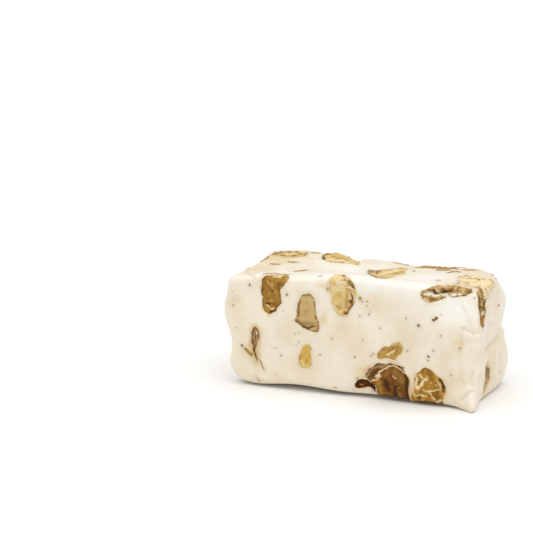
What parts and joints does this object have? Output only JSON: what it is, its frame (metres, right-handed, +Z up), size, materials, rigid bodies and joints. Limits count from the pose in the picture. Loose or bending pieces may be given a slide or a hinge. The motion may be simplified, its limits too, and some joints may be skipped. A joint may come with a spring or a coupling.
{
  "type": "nougat bar",
  "caption": "Cut bar of soft white nougat with roasted almonds, lying on its underside, the almonds cut flush with its sides.",
  "frame": {"origin": "middle of the bar's footprint, on the surface that it rests on", "axes": "+X along the bar towards the end that shows, -Y out of the front, +Z up"},
  "size_m": [0.0856, 0.0398, 0.0386],
  "materials": {
    "nougat": "satin",
    "almond_roasted": "matte",
    "almond_golden": "matte",
    "almond_pale": "matte",
    "almond_skin": "satin"
  },
  "bodies": {
    "root": {"nougat": "nougat", "almond_sliver": "almond_skin", "almond_upright": "almond_roasted", "almond_chip": "almond_golden", "almond_oval": "almond_pale", "almond_pale": "almond_pale", "almond_skin_tip": "almond_skin", "almond_dark": "almond_skin", "almond_lobed": "almond_golden", "almond_golden": "almond_roasted", "almond_crumbly": "almond_roasted", "almond_corner": "almond_roasted", "almond_slit": "almond_skin", "almond_hump": "almond_golden", "almond_back_edge": "almond_pale", "almond_top_wide": "almond_pale", "almond_top_right": "almond_golden", "almond_top_back": "almond_golden", "almond_back_1": "almond_roasted", "almond_back_2": "almond_pale", "almond_back_3": "almond_golden", "almond_back_4": "almond_skin", "almond_back_5": "almond_roasted", "almond_back_6": "almond_pale", "almond_back_7": "almond_golden", "almond_left_1": "almond_roasted", "almond_left_2": "almond_pale", "almond_under_1": "almond_roasted", "almond_under_2": "almond_golden"}
  },
  "joints": []
}
